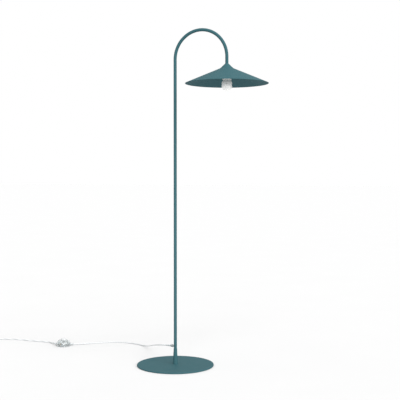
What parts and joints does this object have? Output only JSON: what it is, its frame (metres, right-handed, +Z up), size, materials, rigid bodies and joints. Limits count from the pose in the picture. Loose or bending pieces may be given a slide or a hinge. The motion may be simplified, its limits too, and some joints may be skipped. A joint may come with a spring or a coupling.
{
  "type": "arc-arm floor lamp",
  "caption": "Slim floor lamp: flat round base, thin stem bent over in an arch, shallow conical metal shade on a swivelling arm, globe bulb, clear cord with round foot switch.",
  "frame": {"origin": "centre of the round base's underside, on the floor", "axes": "+Z up along the stem; +X from the stem towards the shade at rest; +Y completes the right-handed frame"},
  "size_m": [1.5961, 0.539, 1.4999],
  "materials": {
    "teal_powder_coat": "matte powder coat, fine texture",
    "felt": "pressed felt",
    "zinc_steel": "bright zinc plate",
    "nylon": "moulded nylon, tinted to the paint",
    "clear_plastic": "clear moulded",
    "clear_cord": "clear soft PVC over tinned cores",
    "core_insulation": "extruded",
    "copper": "bare tinned copper",
    "grey_plastic": "moulded",
    "white_plastic": "moulded",
    "black_bakelite": "moulded phenolic",
    "holder_plastic": "moulded white",
    "brass": "drawn",
    "opal_plastic": "opal satin",
    "nickel_plate": "nickel plate",
    "black_glass": "cast",
    "circuit_board": "solder mask",
    "led_phosphor": "phosphor resin",
    "tie_strap": "soft strap"
  },
  "bodies": {
    "stand": {"base_plate": "teal_powder_coat", "base_screw": "zinc_steel", "cable_gland": "clear_plastic", "coil_tie": "tie_strap", "cord_coil": "clear_cord", "cord_lamp": "clear_cord", "cord_tail": "clear_cord", "cord_wall": "clear_cord", "floor_pad": "felt", "foot_cone": "teal_powder_coat", "gland_nut": "clear_plastic", "gland_sleeve": "clear_plastic", "lower_inner_cable": "clear_cord", "plug_body": "clear_plastic", "plug_pins": "nickel_plate", "plug_strain_relief": "clear_plastic", "stem_lower_tube": "teal_powder_coat", "switch_base": "grey_plastic", "switch_cord_clamps": "grey_plastic", "switch_cover": "clear_plastic", "switch_module": "grey_plastic", "switch_screws": "zinc_steel", "switch_spring": "zinc_steel", "switch_strain_reliefs": "clear_plastic", "switch_terminals": "brass", "switch_wires": "copper", "swivel_sleeve": "zinc_steel", "swivel_washer": "nylon"},
    "arm": {"arm_tube": "teal_powder_coat", "swivel_stop_screw": "zinc_steel", "upper_inner_cable": "clear_cord", "arm_end_bush": "zinc_steel", "threaded_nipple": "zinc_steel", "shade": "teal_powder_coat", "shade_spacer": "zinc_steel", "shade_nut": "zinc_steel", "holder_cap": "holder_plastic", "holder_shell": "holder_plastic", "holder_core": "black_bakelite", "holder_thread_sleeve": "brass", "holder_centre_contact": "brass", "holder_terminals": "brass", "holder_terminal_screws": "zinc_steel", "cable_cores": "core_insulation"},
    "bulb_travel": {"bulb_tip": "nickel_plate"},
    "bulb": {"bulb_insulator": "black_glass", "bulb_screw_cap": "nickel_plate", "bulb_collar": "white_plastic", "bulb_globe": "opal_plastic", "bulb_led_board": "circuit_board", "bulb_leds": "led_phosphor", "bulb_driver": "circuit_board"},
    "foot_button": {"switch_button": "white_plastic"}
  },
  "joints": [
    {"name": "arm_swivel", "type": "hinge", "parent": "stand", "child": "arm", "pos_m": [0, 0, 0.74], "axis": [0, 0, 1], "range_deg": [-155, 155]},
    {"name": "bulb_descend", "type": "slide", "parent": "arm", "child": "bulb_travel", "axis": [0, 0, -1], "range_m": [0, 0.01089]},
    {"name": "bulb_unscrew", "type": "hinge", "parent": "bulb_travel", "child": "bulb", "pos_m": [0.247, 0, 1.2955], "axis": [0, 0, -1], "range_deg": [0, 1081]},
    {"name": "switch_press", "type": "slide", "parent": "stand", "child": "foot_button", "axis": [0, 0, -1], "range_m": [0, 0.003], "stiffness_N_per_m": 800, "springref_m": -0.004, "deforming": ["switch_spring"]}
  ],
  "couplings": [
    {"joint": "bulb_unscrew", "follows": "bulb_descend", "rad_per_m": 1731.4}
  ]
}
